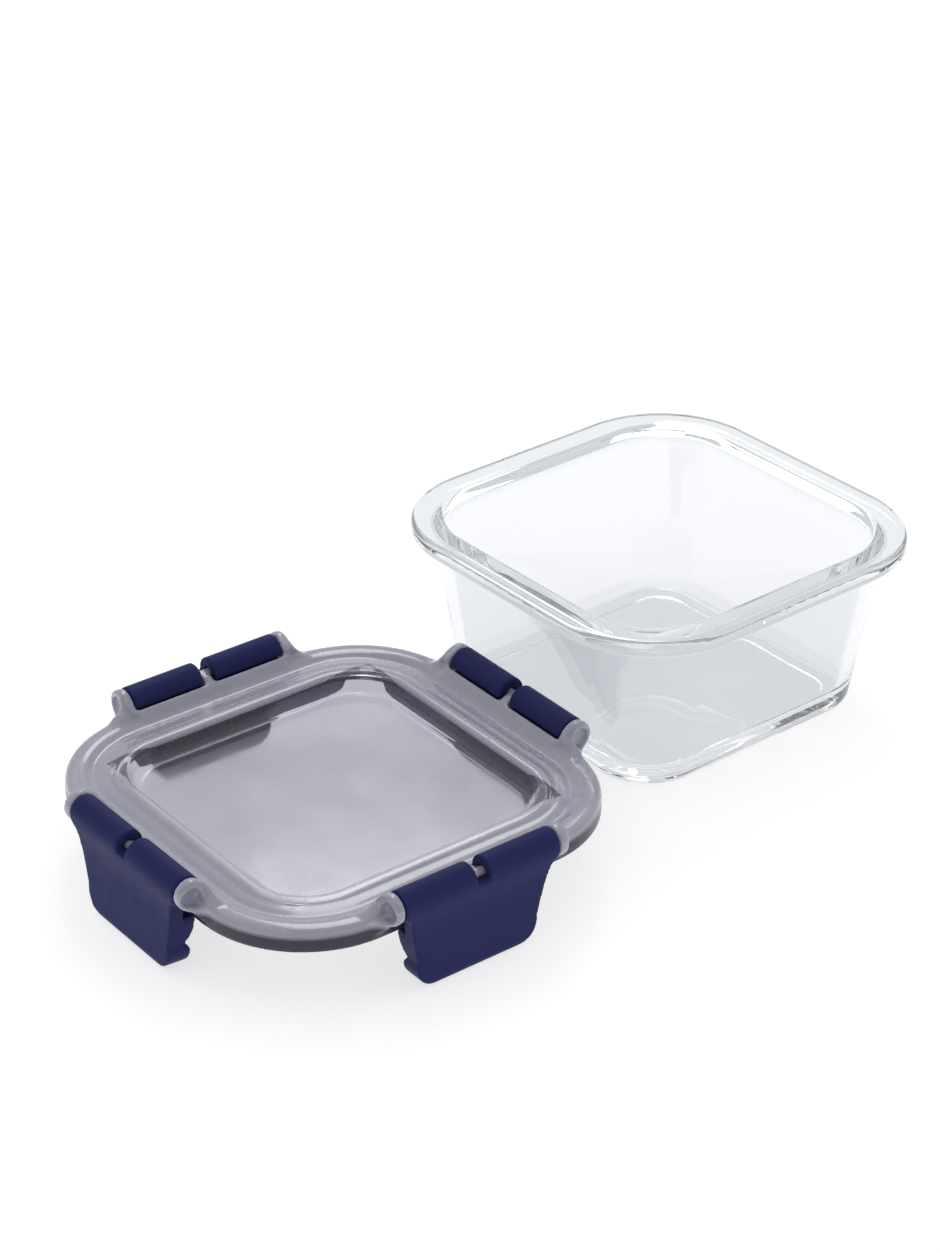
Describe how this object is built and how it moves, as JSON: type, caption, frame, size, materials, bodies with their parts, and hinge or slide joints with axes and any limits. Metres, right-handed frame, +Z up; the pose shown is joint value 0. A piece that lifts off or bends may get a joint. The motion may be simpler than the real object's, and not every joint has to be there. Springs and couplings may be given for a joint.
{
  "type": "glass storage container",
  "caption": "Square glass food storage container with a rim flange and tapered walls, and its plastic lid standing beside it on hinged side latches.",
  "frame": {"origin": "centre of the glass container's base, in the plane it stands on", "axes": "+Z up out of the container's mouth; +X and +Y square to its flat sides; the lid lies on the -Y side"},
  "size_m": [0.1632, 0.2967, 0.0633],
  "materials": {
    "glass": "clear, polished",
    "lid_plastic": "frosted translucent, glossy clear panel",
    "silicone": "satin translucent",
    "latch_plastic": "satin navy"
  },
  "bodies": {
    "container": {"glass_container": "glass"},
    "lid_body": {"lid": "lid_plastic", "lid_seal": "silicone"},
    "latch_front_body": {"latch_front": "latch_plastic"},
    "latch_back_body": {"latch_back": "latch_plastic"},
    "latch_left_body": {"latch_left": "latch_plastic"},
    "latch_right_body": {"latch_right": "latch_plastic"}
  },
  "joints": [
    {"name": "lid_lift", "type": "slide", "parent": "container", "child": "lid_body", "axis": [0, 0, 1], "range_m": [0, 0.12]},
    {"name": "latch_front_hinge", "type": "hinge", "parent": "lid_body", "child": "latch_front_body", "pos_m": [0.01322, -0.22156, 0.0326], "axis": [-0.9995, 0.0314, 0], "range_deg": [-4, 156]},
    {"name": "latch_back_hinge", "type": "hinge", "parent": "lid_body", "child": "latch_back_body", "pos_m": [0.01778, -0.07644, 0.0326], "axis": [0.9995, -0.0314, 0], "range_deg": [0, 35]},
    {"name": "latch_left_hinge", "type": "hinge", "parent": "lid_body", "child": "latch_left_body", "pos_m": [-0.05706, -0.14672, 0.0326], "axis": [0.0314, 0.9995, 0], "range_deg": [0, 160]},
    {"name": "latch_right_hinge", "type": "hinge", "parent": "lid_body", "child": "latch_right_body", "pos_m": [0.08806, -0.15128, 0.0326], "axis": [-0.0314, -0.9995, 0], "range_deg": [0, 160]}
  ]
}
